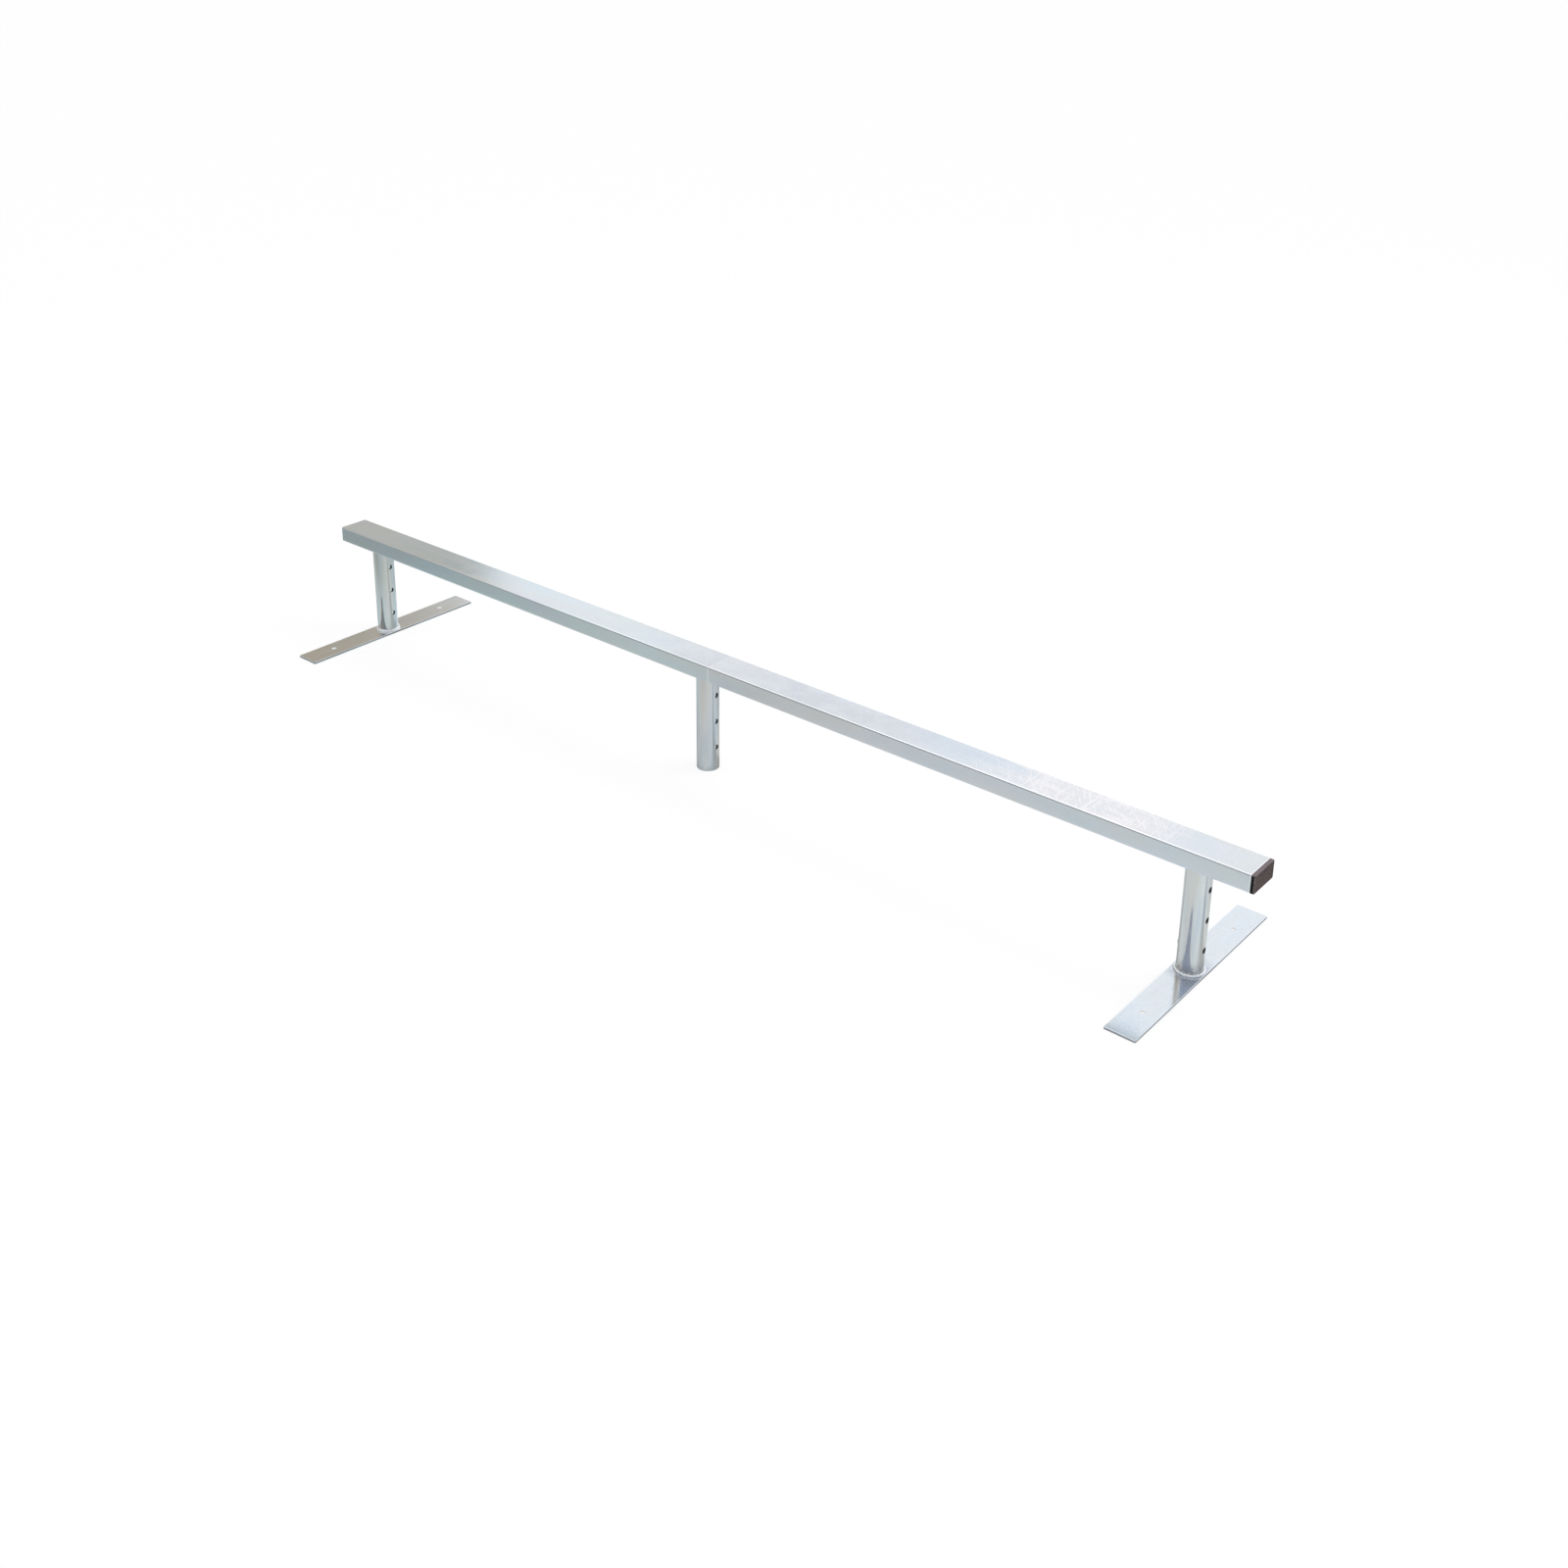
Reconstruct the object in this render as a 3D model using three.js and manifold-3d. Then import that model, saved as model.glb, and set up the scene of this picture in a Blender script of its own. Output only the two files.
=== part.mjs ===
// A low skateboard grind rail: a zinc-plated rectangular tube in two halves, on three telescopic legs.
// Millimetres. X runs along the rail, Y across it, +Z is up and the floor is Z = 0.
// The origin is on the floor, under the middle of the whole length.
import * as THREE from 'three';
import { mergeVertices } from 'three/addons/utils/BufferGeometryUtils.js';
import Module from 'manifold-3d';

const wasm = await Module();
wasm.setup();

// Rail halves: rectangular steel tube
const railHalfLength = 1000;
const railWidth = 60;
const railHeight = 30;
const railWall = 2;
const railCornerRadius = 3;

// Leg tubes: the outer, lower tubes with the height holes
const legDiameter = 40;
const legWall = 2;
const legTubeLength = 172;
const legEndInset = 90; // leg centre to the rail's end
const middleLegSeamMargin = 6; // rail seam to the middle leg's upper weld

// Height holes, drilled through both walls of each leg tube
const holeDiameter = 10;
const heightHoles = 3;
const lowestHoleHeight = 39; // above the end legs' lower tube end
const highestHoleMargin = 33; // below the tube's upper end

// Posts: the inner tubes under the rail, which slide in the leg tubes
const postClearance = 0.5;
const postWall = 2;
const postEndMargin = 18; // below the post's own lock hole

// Foot plates: flat bar across the rail, under the end legs
const footLength = 400;
const footWidth = 50;
const footThickness = 4;
const anchorHoleDiameter = 8;
const anchorHoleEndMargin = 65; // hole centre to the plate's end

// Weld beads
const footWeldLeg = 3.5;
const postWeldLeg = 3.5;
const weldSeat = 0.1; // bead to the tube that it runs round
const rimClearance = 0.5; // leg tube's rim to the bead above it, at the lowest setting

// Joint sleeve: the smaller tube inside both halves at the seam
const sleeveClearance = 0.3;
const sleeveWall = 2;
const sleeveCornerRadius = 2;
const sleeveEndMargin = 15; // outer screw to the sleeve's end
const screwPitch = 30;
const screwLegMargin = 25; // middle leg tube to the nearest screw

// Joint screws: M6, from below, into nuts inside the sleeve
const screwDiameter = 6;
const screwHoleClearance = 0.3;
const screwHeadAcrossFlats = 10;
const screwHeadHeight = 4;
const screwReach = 2; // thread showing past the nut
const washerDiameter = 12;
const washerThickness = 1.2;
const nutAcrossFlats = 10;
const nutHeight = 5;

// End cap on the right and flush plug on the left
const capFlangeThickness = 6;
const capBevel = 1.5;
const plugFaceThickness = 3;
const plugClearance = 0.3;
const plugWall = 2;
const plugCornerRadius = 1;
const plugDepth = 24;
const plugRibs = 3;
const plugRibThickness = 1.5;
const plugRibHeight = 1;

// Snap clips: a bent spring strip with a round button, inside each post
const buttonClearance = 0.3;
const buttonProud = 1.5;
const buttonDome = 1.5;
const clipThickness = 1;
const clipWidth = 10;
const clipClearance = 0.3;
const clipFrontArm = 32; // button centre to where the bend starts
const clipBackArm = 20;
const clipTail = 7; // below the button's centre
const buttonRootShare = 0.5; // of the strip's thickness, where the button is riveted in

// Tool values
const cutOverrun = 1;
const mergeTolerance = 0.0001;
const tubeSteps = 48;
const holeSteps = 24;
const cornerSteps = 3;
const plugCornerSteps = 1;
const bendSteps = 16;
const beadSteps = 3;
const domeSteps = 3;
const hexSides = 6;

// Sizes that follow
const legRadius = legDiameter / 2;
const legBore = legRadius - legWall;
const holePitch = (legTubeLength - lowestHoleHeight - highestHoleMargin) / (heightHoles - 1);
const postRadius = legBore - postClearance;
const postBore = postRadius - postWall;
const rimGap = postWeldLeg + rimClearance;
const railBottom = footThickness + legTubeLength + rimGap;
const lockDepth = railBottom - footThickness - lowestHoleHeight;
const postLength = lockDepth + postEndMargin;
const seamX = -capFlangeThickness / 2;
const middleLegX = seamX - postRadius - postWeldLeg - middleLegSeamMargin;
const leftLegX = seamX - railHalfLength + legEndInset;
const rightLegX = seamX + railHalfLength - legEndInset;
const nearScrew = seamX - middleLegX + legRadius + screwLegMargin;
const farScrew = nearScrew + screwPitch;
const sleeveHalfLength = farScrew + sleeveEndMargin;
const anchorHoleOffset = footLength / 2 - anchorHoleEndMargin;
const buttonRadius = holeDiameter / 2 - buttonClearance;
const clipRadius = Math.sqrt(postBore ** 2 - (clipWidth / 2) ** 2) - clipClearance;

// Finishes
const zincBright = { color: 0xd3dade, metalness: 0.9, roughness: 0.32 };
const zincPlate = { color: 0xd9e0e6, metalness: 0.85, roughness: 0.38 };
const zincWeld = { color: 0xe2e6ea, metalness: 0.85, roughness: 0.45 };
const springSteel = { color: 0xa8adb2, metalness: 1, roughness: 0.3 };
const capPlastic = { color: 0x3a2f2d, metalness: 0, roughness: 0.55 };

const axisX = new THREE.Vector3(1, 0, 0);
const axisY = new THREE.Vector3(0, 1, 0);
const axisZ = new THREE.Vector3(0, 0, 1);

// Turns an outline drawn in x, y and pushed along z, so that it is drawn in Y, Z and pushed along X
const alongRail = new THREE.Matrix4().makeBasis(axisY, axisZ, axisX);
// The same for an outline drawn in X, Z and pushed across the rail
const acrossRail = new THREE.Matrix4().makeBasis(axisX, axisZ, axisY.clone().negate());

function solidOf(geometry) {
  const bare = geometry.clone();
  bare.deleteAttribute('normal');
  bare.deleteAttribute('uv');
  const merged = mergeVertices(bare, mergeTolerance);
  const vertProperties = merged.attributes.position.array;
  const triVerts = Uint32Array.from(merged.index.array);
  return new wasm.Manifold(new wasm.Mesh({ numProp: 3, vertProperties, triVerts }));
}

function geometryOf(solid) {
  const mesh = solid.getMesh();
  const geometry = new THREE.BufferGeometry();
  geometry.setAttribute('position', new THREE.BufferAttribute(mesh.vertProperties, 3));
  geometry.setIndex(new THREE.BufferAttribute(mesh.triVerts, 1));
  geometry.computeVertexNormals();
  return geometry;
}

function addPiece(group, name, geometry, finish, x = 0, y = 0, z = 0) {
  const mesh = new THREE.Mesh(geometry, new THREE.MeshStandardMaterial(finish));
  mesh.name = name;
  mesh.position.set(x, y, z);
  group.add(mesh);
}

// A tube or ring standing on Z = 0: a closed profile turned round Z
function ring(outerRadius, innerRadius, length, steps = tubeSteps) {
  const profile = [
    new THREE.Vector2(innerRadius, 0),
    new THREE.Vector2(outerRadius, 0),
    new THREE.Vector2(outerRadius, length),
    new THREE.Vector2(innerRadius, length),
    new THREE.Vector2(innerRadius, 0),
  ];
  return new THREE.LatheGeometry(profile, steps).rotateX(Math.PI / 2);
}

// A round bar standing on Z = 0
function bar(radius, length, steps = holeSteps) {
  return new THREE.CylinderGeometry(radius, radius, length, steps)
    .rotateX(Math.PI / 2)
    .translate(0, 0, length / 2);
}

// A round cutter along X at height z, from outside the leg's -X side to the given end
function crossDrill(z, end = legRadius + cutOverrun) {
  const length = legRadius + cutOverrun + end;
  return solidOf(new THREE.CylinderGeometry(holeDiameter / 2, holeDiameter / 2, length, holeSteps)
    .rotateZ(Math.PI / 2)
    .translate(end - length / 2, 0, z));
}

function roundedRectangle(width, height, radius, base, path = new THREE.Shape()) {
  const side = width / 2;
  path.moveTo(radius - side, base);
  path.lineTo(side - radius, base);
  path.absarc(side - radius, base + radius, radius, -Math.PI / 2, 0, false);
  path.lineTo(side, base + height - radius);
  path.absarc(side - radius, base + height - radius, radius, 0, Math.PI / 2, false);
  path.lineTo(radius - side, base + height);
  path.absarc(radius - side, base + height - radius, radius, Math.PI / 2, Math.PI, false);
  path.lineTo(-side, base + radius);
  path.absarc(radius - side, base + radius, radius, Math.PI, Math.PI * 1.5, false);
  return path;
}

function pushAlongRail(shape, length, curveSegments = cornerSteps) {
  return new THREE.ExtrudeGeometry(shape, { depth: length, bevelEnabled: false, curveSegments })
    .applyMatrix4(alongRail);
}

// A rectangular tube from X = 0, its outside bottom at height base
function rectangularTube(width, height, wall, radius, base, length, steps = cornerSteps) {
  const section = roundedRectangle(width, height, radius, base);
  const innerRadius = Math.max(radius - wall, wall / 2);
  const bore = roundedRectangle(width - 2 * wall, height - 2 * wall, innerRadius, base + wall, new THREE.Path());
  section.holes.push(bore);
  return pushAlongRail(section, length, steps);
}

function screwPlaces(direction) {
  return [nearScrew, farScrew].map((distance) => direction * distance);
}

// The round holes for the joint screws, through the bottom walls
function screwHoles(places, offset) {
  const height = railWall + sleeveWall + 2 * cutOverrun;
  const radius = screwDiameter / 2 + screwHoleClearance;
  return places.map((x) => solidOf(bar(radius, height).translate(x + offset, 0, -cutOverrun)));
}

function cutAll(solid, cutters) {
  return cutters.reduce((left, cutter) => left.subtract(cutter), solid);
}

function railHalf(direction) {
  const tube = rectangularTube(railWidth, railHeight, railWall, railCornerRadius, 0, railHalfLength);
  const offset = direction < 0 ? railHalfLength : 0;
  return geometryOf(cutAll(solidOf(tube), screwHoles(screwPlaces(direction), offset)));
}

function jointSleeve() {
  const width = railWidth - 2 * railWall - 2 * sleeveClearance;
  const height = railHeight - 2 * railWall - 2 * sleeveClearance;
  const length = 2 * sleeveHalfLength;
  const tube = rectangularTube(width, height, sleeveWall, sleeveCornerRadius, railWall, length);
  const holes = screwHoles([...screwPlaces(-1), ...screwPlaces(1)], sleeveHalfLength);
  return geometryOf(cutAll(solidOf(tube), holes));
}

function hexagon(acrossFlats, height) {
  const corner = acrossFlats / 2 / Math.cos(Math.PI / hexSides);
  return bar(corner, height, hexSides);
}

// A hexagon-head screw with its head's top face, under the washer, at Z = 0
function jointScrew() {
  const length = washerThickness + railWall + sleeveWall + nutHeight + screwReach;
  const head = solidOf(hexagon(screwHeadAcrossFlats, screwHeadHeight).translate(0, 0, -screwHeadHeight));
  return geometryOf(head.add(solidOf(bar(screwDiameter / 2, length + cutOverrun).translate(0, 0, -cutOverrun))));
}

function jointWasher() {
  return ring(washerDiameter / 2, screwDiameter / 2 + screwHoleClearance, washerThickness, holeSteps);
}

function jointNut() {
  const bore = bar(screwDiameter / 2 + screwHoleClearance, nutHeight + 2 * cutOverrun).translate(0, 0, -cutOverrun);
  return geometryOf(solidOf(hexagon(nutAcrossFlats, nutHeight)).subtract(solidOf(bore)));
}

// The hollow stem that both end pieces push into the tube, from X = 0 towards +X, with its ribs
function plugStem() {
  const side = railWall + plugClearance;
  const width = railWidth - 2 * side;
  const height = railHeight - 2 * side;
  const core = 2 * plugRibHeight;
  const base = side + plugRibHeight;
  const radius = plugCornerRadius;
  const steps = plugCornerSteps;
  const collarWall = plugRibHeight + plugWall / 2;
  let stem = solidOf(rectangularTube(width - core, height - core, plugWall, radius, base, plugDepth, steps));
  for (let rib = 1; rib <= plugRibs; rib += 1) {
    const start = (rib * plugDepth) / (plugRibs + 1);
    const collar = rectangularTube(width, height, collarWall, radius, side, plugRibThickness, steps);
    stem = stem.add(solidOf(collar.translate(start, 0, 0)));
  }
  return stem;
}

function stemLid(thickness) {
  const side = railWall + plugClearance;
  const outline = roundedRectangle(railWidth - 2 * side, railHeight - 2 * side, plugCornerRadius, side);
  return solidOf(pushAlongRail(outline, thickness, plugCornerSteps));
}

// The cap over the right end: a flange as large as the tube with a bevelled rim, its seat at X = 0
function endCap() {
  const outline = roundedRectangle(
    railWidth - 2 * capBevel,
    railHeight - 2 * capBevel,
    railCornerRadius - capBevel,
    capBevel,
  );
  const block = new THREE.ExtrudeGeometry(outline, {
    depth: capFlangeThickness,
    bevelSize: capBevel,
    bevelThickness: capBevel,
    bevelSegments: domeSteps,
    curveSegments: cornerSteps,
  }).applyMatrix4(alongRail).translate(-capBevel, 0, 0);
  const span = 2 * railWidth;
  const keep = new THREE.BoxGeometry(span, span, span).translate(span / 2, 0, 0);
  const flange = solidOf(block).intersect(solidOf(keep));
  const stem = plugStem().mirror([1, 0, 0]);
  return geometryOf(flange.add(stem).add(stemLid(plugWall).mirror([1, 0, 0])));
}

function endPlug() {
  return geometryOf(plugStem().add(stemLid(plugFaceThickness)));
}

// A quarter-round weld bead round a tube of the given radius: its foot on Z = 0, rising with sign +1
function weldBead(tubeRadius, leg, sign) {
  const inner = tubeRadius + weldSeat;
  const profile = [new THREE.Vector2(inner, 0)];
  for (let step = 0; step <= beadSteps; step += 1) {
    const angle = (step / beadSteps) * (Math.PI / 2);
    profile.push(new THREE.Vector2(inner + leg * Math.cos(angle), sign * leg * Math.sin(angle)));
  }
  profile.push(profile[0].clone());
  if (sign < 0) {
    profile.reverse();
  }
  return new THREE.LatheGeometry(profile, tubeSteps).rotateX(Math.PI / 2);
}

// A leg tube from Z = 0, with its lowest hole at the given height
function legTube(length, firstHole) {
  const holes = Array.from({ length: heightHoles }, (_, index) => crossDrill(firstHole + index * holePitch));
  return geometryOf(cutAll(solidOf(ring(legRadius, legBore, length)), holes));
}

// A post hangs from Z = 0, with one hole in its -X wall for the snap button
function post() {
  const tube = ring(postRadius, postBore, postLength).translate(0, 0, -postLength);
  return geometryOf(solidOf(tube).subtract(crossDrill(-lockDepth, 0)));
}

function footPlate() {
  const outline = new THREE.Shape();
  outline.moveTo(-footWidth / 2, -footLength / 2);
  outline.lineTo(footWidth / 2, -footLength / 2);
  outline.lineTo(footWidth / 2, footLength / 2);
  outline.lineTo(-footWidth / 2, footLength / 2);
  for (const y of [-anchorHoleOffset, anchorHoleOffset]) {
    const hole = new THREE.Path();
    hole.absarc(0, y, anchorHoleDiameter / 2, 0, Math.PI * 2, true);
    outline.holes.push(hole);
  }
  return new THREE.ExtrudeGeometry(outline, {
    depth: footThickness,
    bevelEnabled: false,
    curveSegments: holeSteps,
  });
}

// The snap clip: a strip bent over at the top, its button at Z = 0 pointing along -X through both tubes
function snapClip() {
  const inner = clipRadius - clipThickness;
  const strip = new THREE.Shape();
  strip.moveTo(-clipRadius, -clipTail);
  strip.lineTo(-clipRadius, clipFrontArm);
  strip.absarc(0, clipFrontArm, clipRadius, Math.PI, 0, true);
  strip.lineTo(clipRadius, clipFrontArm - clipBackArm);
  strip.lineTo(inner, clipFrontArm - clipBackArm);
  strip.lineTo(inner, clipFrontArm);
  strip.absarc(0, clipFrontArm, inner, 0, Math.PI, false);
  strip.lineTo(-inner, -clipTail);
  const bent = new THREE.ExtrudeGeometry(strip, {
    depth: clipWidth,
    bevelEnabled: false,
    curveSegments: bendSteps,
  }).applyMatrix4(acrossRail).translate(0, clipWidth / 2, 0);

  const root = clipRadius - clipThickness * buttonRootShare;
  const tip = legRadius + buttonProud;
  const profile = [new THREE.Vector2(0, root), new THREE.Vector2(buttonRadius, root)];
  for (let step = 0; step <= domeSteps; step += 1) {
    const angle = (step / domeSteps) * (Math.PI / 2);
    const radius = buttonRadius - buttonDome + buttonDome * Math.cos(angle);
    profile.push(new THREE.Vector2(radius, tip - buttonDome + buttonDome * Math.sin(angle)));
  }
  profile.push(new THREE.Vector2(0, tip));
  const button = new THREE.LatheGeometry(profile, holeSteps).rotateZ(Math.PI / 2);
  return geometryOf(solidOf(bent).add(solidOf(button)));
}

function addRail(group) {
  const rail = new THREE.Group();
  rail.position.z = railBottom;
  group.add(rail);
  addPiece(rail, 'rail_half_left', railHalf(-1), zincBright, seamX - railHalfLength);
  addPiece(rail, 'rail_half_right', railHalf(1), zincBright, seamX);
  addPiece(rail, 'joint_sleeve', jointSleeve(), zincBright, seamX - sleeveHalfLength);
  addPiece(rail, 'end_cap_right', endCap(), capPlastic, seamX + railHalfLength);
  addPiece(rail, 'end_plug_left', endPlug(), capPlastic, seamX - railHalfLength);
  [...screwPlaces(-1), ...screwPlaces(1)].forEach((place, index) => {
    const x = seamX + place;
    addPiece(rail, `joint_screw_${index + 1}`, jointScrew(), zincPlate, x, 0, -washerThickness);
    addPiece(rail, `joint_washer_${index + 1}`, jointWasher(), zincPlate, x, 0, -washerThickness);
    addPiece(rail, `joint_nut_${index + 1}`, jointNut(), zincPlate, x, 0, railWall + sleeveWall);
  });
}

function addLeg(group, side, x, hasFoot) {
  const leg = new THREE.Group();
  leg.position.x = x;
  group.add(leg);
  addPiece(leg, `post_${side}`, post(), zincBright, 0, 0, railBottom);
  addPiece(leg, `post_weld_${side}`, weldBead(postRadius, postWeldLeg, -1), zincWeld, 0, 0, railBottom);
  addPiece(leg, `snap_clip_${side}`, snapClip(), springSteel, 0, 0, railBottom - lockDepth);
  if (hasFoot) {
    addPiece(leg, `leg_tube_${side}`, legTube(legTubeLength, lowestHoleHeight), zincBright, 0, 0, footThickness);
    addPiece(leg, `foot_plate_${side}`, footPlate(), zincPlate);
    addPiece(leg, `foot_weld_${side}`, weldBead(legRadius, footWeldLeg, 1), zincWeld, 0, 0, footThickness);
  } else {
    const length = legTubeLength + footThickness;
    addPiece(leg, `leg_tube_${side}`, legTube(length, lowestHoleHeight + footThickness), zincBright);
  }
}

const grindRail = new THREE.Group();
addRail(grindRail);
addLeg(grindRail, 'left', leftLegX, true);
addLeg(grindRail, 'middle', middleLegX, false);
addLeg(grindRail, 'right', rightLegX, true);

export default grindRail;
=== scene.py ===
# A low grind rail on three legs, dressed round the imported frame. Metres, X along the rail, Z up.
import math

import bmesh
import bpy
from mathutils import Euler, Matrix, Vector, noise


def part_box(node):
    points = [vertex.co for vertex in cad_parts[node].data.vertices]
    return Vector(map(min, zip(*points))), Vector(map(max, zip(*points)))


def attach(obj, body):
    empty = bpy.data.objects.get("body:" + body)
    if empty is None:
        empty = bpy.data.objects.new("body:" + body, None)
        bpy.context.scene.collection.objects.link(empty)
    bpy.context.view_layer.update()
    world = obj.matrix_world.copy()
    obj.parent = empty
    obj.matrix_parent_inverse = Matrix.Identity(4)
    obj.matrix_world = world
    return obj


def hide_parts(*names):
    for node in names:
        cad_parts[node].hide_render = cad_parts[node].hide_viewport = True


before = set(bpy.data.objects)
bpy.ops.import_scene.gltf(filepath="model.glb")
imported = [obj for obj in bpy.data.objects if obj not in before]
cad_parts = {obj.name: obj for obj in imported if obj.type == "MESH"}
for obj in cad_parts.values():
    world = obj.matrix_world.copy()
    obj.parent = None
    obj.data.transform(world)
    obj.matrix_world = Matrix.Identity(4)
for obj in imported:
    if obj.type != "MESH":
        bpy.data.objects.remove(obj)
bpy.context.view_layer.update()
scene = bpy.context.scene
scene.view_settings.view_transform = "Standard"
print("frame loaded:", len(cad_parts), "nodes")


# Camera

camera = {
    "azimuth": 39.673,
    "elevation": 19.820,
    "roll": 0.628,
    "place": (1.8707, -2.0912, 1.5337),
    "sensor": 36.0,
    "lens": 41.51,
    "shiftUp": -0.1875,
    "farthest": 200,
}


def addCamera(s):
    lens = bpy.data.cameras.new("camera")
    lens.sensor_width = s["sensor"]
    lens.lens = s["lens"]
    lens.shift_y = s["shiftUp"]
    lens.clip_end = s["farthest"]
    eye = bpy.data.objects.new("camera", lens)
    scene.collection.objects.link(eye)
    tilt = Euler((math.radians(90 - s["elevation"]), 0, math.radians(s["azimuth"])))
    roll = Matrix.Rotation(math.radians(s["roll"]), 4, "Z")
    eye.matrix_world = Matrix.Translation(s["place"]) @ tilt.to_matrix().to_4x4() @ roll
    scene.camera = eye


addCamera(camera)
print("camera placed")


# Node helpers: an input takes a plain value or another node's output, and each helper gives back an output


def feed(tree, socket, value):
    if isinstance(value, bpy.types.NodeSocket):
        tree.links.new(value, socket)
    else:
        socket.default_value = value


def addNode(tree, kind, inputs=None, **options):
    # the inputs are its sockets by name, and the options are settings of the node itself
    made = tree.nodes.new(kind)
    for name, value in options.items():
        setattr(made, name, value)
    for name, value in (inputs or {}).items():
        feed(tree, made.inputs[name], value)
    return made


def addNoise(tree, place, scale, detail=2.0, roughness=0.5, distortion=0.0):
    inputs = {"Vector": place, "Scale": scale, "Detail": detail, "Roughness": roughness}
    inputs["Distortion"] = distortion
    return addNode(tree, "ShaderNodeTexNoise", inputs).outputs["Fac"]


def addRamp(tree, value, stops):
    made = addNode(tree, "ShaderNodeValToRGB", {"Fac": value})
    points = made.color_ramp.elements
    while len(points) < len(stops):
        points.new(0.5)
    for point, (place, color) in zip(points, stops):
        point.position = place
        point.color = (*color, 1)
    return made.outputs["Color"]


def addRange(tree, value, low, high, start=0.0, end=1.0, curve="LINEAR"):
    inputs = {"Value": value, "From Min": low, "From Max": high, "To Min": start, "To Max": end}
    made = addNode(tree, "ShaderNodeMapRange", inputs, interpolation_type=curve)
    return made.outputs["Result"]


def addMath(tree, operation, *values):
    made = addNode(tree, "ShaderNodeMath", operation=operation)
    for socket, value in zip(made.inputs, values):
        feed(tree, socket, value)
    return made.outputs["Value"]


def addProduct(tree, product, *factors):
    for factor in factors:
        product = addMath(tree, "MULTIPLY", product, factor)
    return product


def addReach(tree, value, middle):
    # how far a value is from the middle, either way
    return addMath(tree, "ABSOLUTE", addMath(tree, "SUBTRACT", value, middle))


def addVector(tree, operation, *values, result="Vector"):
    made = addNode(tree, "ShaderNodeVectorMath", operation=operation)
    for socket, value in zip(made.inputs, values):
        feed(tree, socket, value)
    return made.outputs[result]


def addScaled(tree, value, factor):
    inputs = {"Vector": value, "Scale": factor}
    return addNode(tree, "ShaderNodeVectorMath", inputs, operation="SCALE").outputs["Vector"]


def addSplit(tree, value):
    return addNode(tree, "ShaderNodeSeparateXYZ", {"Vector": value}).outputs


def addMix(tree, factor, first, second, blend="MIX"):
    # first where the factor is 0, second where it is 1; sockets go by number, because their names repeat
    made = addNode(tree, "ShaderNodeMix", data_type="RGBA", blend_type=blend)
    for number, value in ((0, factor), (6, first), (7, second)):
        feed(tree, made.inputs[number], value)
    return made.outputs[2]


def startGroup(name, result, **inputs):
    # one output, and a place before the named inputs, whose kinds follow from their first values
    group = bpy.data.node_groups.new(name, "ShaderNodeTree")
    kinds = {1: "NodeSocketFloat", 3: "NodeSocketVector", 4: "NodeSocketColor"}
    group.interface.new_socket("Vector", in_out="INPUT", socket_type=kinds[3])
    for label, value in inputs.items():
        size = len(value) if isinstance(value, tuple) else 1
        made = group.interface.new_socket(label, in_out="INPUT", socket_type=kinds[size])
        made.default_value = value
    kind = kinds[4] if result == "Color" else kinds[1]
    group.interface.new_socket(result, in_out="OUTPUT", socket_type=kind)
    given = group.nodes.new("NodeGroupInput").outputs
    out = group.nodes.new("NodeGroupOutput").inputs[result]
    return group, given, out


def addGroup(tree, group, place, **inputs):
    made = addNode(tree, "ShaderNodeGroup", {"Vector": place, **inputs}, node_tree=group)
    return made.outputs[0]


def addBump(tree, shader, height, strength, distance):
    inputs = {"Height": height, "Strength": strength, "Distance": distance}
    made = addNode(tree, "ShaderNodeBump", inputs)
    feed(tree, shader.inputs["Normal"], made.outputs["Normal"])


# Shared surface effects

surface = {
    "tints": [
        (0.30, (0.78, 0.88, 1.0)),
        (0.42, (0.93, 0.98, 1.0)),
        (0.50, (1.0, 1.0, 1.0)),
        (0.58, (1.0, 0.98, 0.92)),
        (0.72, (1.0, 0.92, 0.95)),
    ],
    "mottleScale": 420.0,
    "mottleLevel": 0.55,
    "scratchSets": ((0.03, 20), (1.54, 12), (2.20, 6)),
    "scratchCut": (0.54, 0.64),
    "wearScale": 260.0,
    "wearPatches": (0.35, 0.6, 0.35, 1.0),
    "spotScale": 210.0,
    "spotPatches": (0.38, 0.62, 0.15, 1.0),
}
noiseSpan = (0.3, 0.7)  # noise seldom leaves this range


def makeDrawnLines():
    # fine lines that a tube or bar gets from its dies: noise that is long one way and short across
    group, given, out = startGroup("drawnLines", "Mask", Stretch=(1, 1, 1))
    scaled = addVector(group, "MULTIPLY", given["Vector"], given["Stretch"])
    grain = addNoise(group, scaled, 1.0, detail=4.0, roughness=0.65)
    feed(group, out, addRange(group, grain, *noiseSpan))
    return group


def makePlatingTint():
    # the faint blue, yellow and pink of a passivated zinc coat, in soft clouds
    inputs = {"Stretch": (1, 1, 1), "Metal": (0.8, 0.8, 0.8, 1), "Strength": 0.3}
    group, given, out = startGroup("platingTint", "Color", **inputs)
    scaled = addVector(group, "MULTIPLY", given["Vector"], given["Stretch"])
    cloud = addNoise(group, scaled, 1.0, detail=3.0, distortion=0.3)
    tints = addRamp(group, cloud, surface["tints"])
    feed(group, out, addMix(group, given["Strength"], given["Metal"], tints, "MULTIPLY"))
    return group


def makeMottle():
    # the fine, uneven grey of thin plating: a factor close to 1
    group, given, out = startGroup("mottle", "Factor", Depth=0.10)
    grain = addNoise(group, given["Vector"], surface["mottleScale"], detail=3.0, roughness=0.6)
    offset = addMath(group, "SUBTRACT", grain, surface["mottleLevel"])
    feed(group, out, addMath(group, "MULTIPLY_ADD", offset, given["Depth"], 1.0))
    return group


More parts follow.
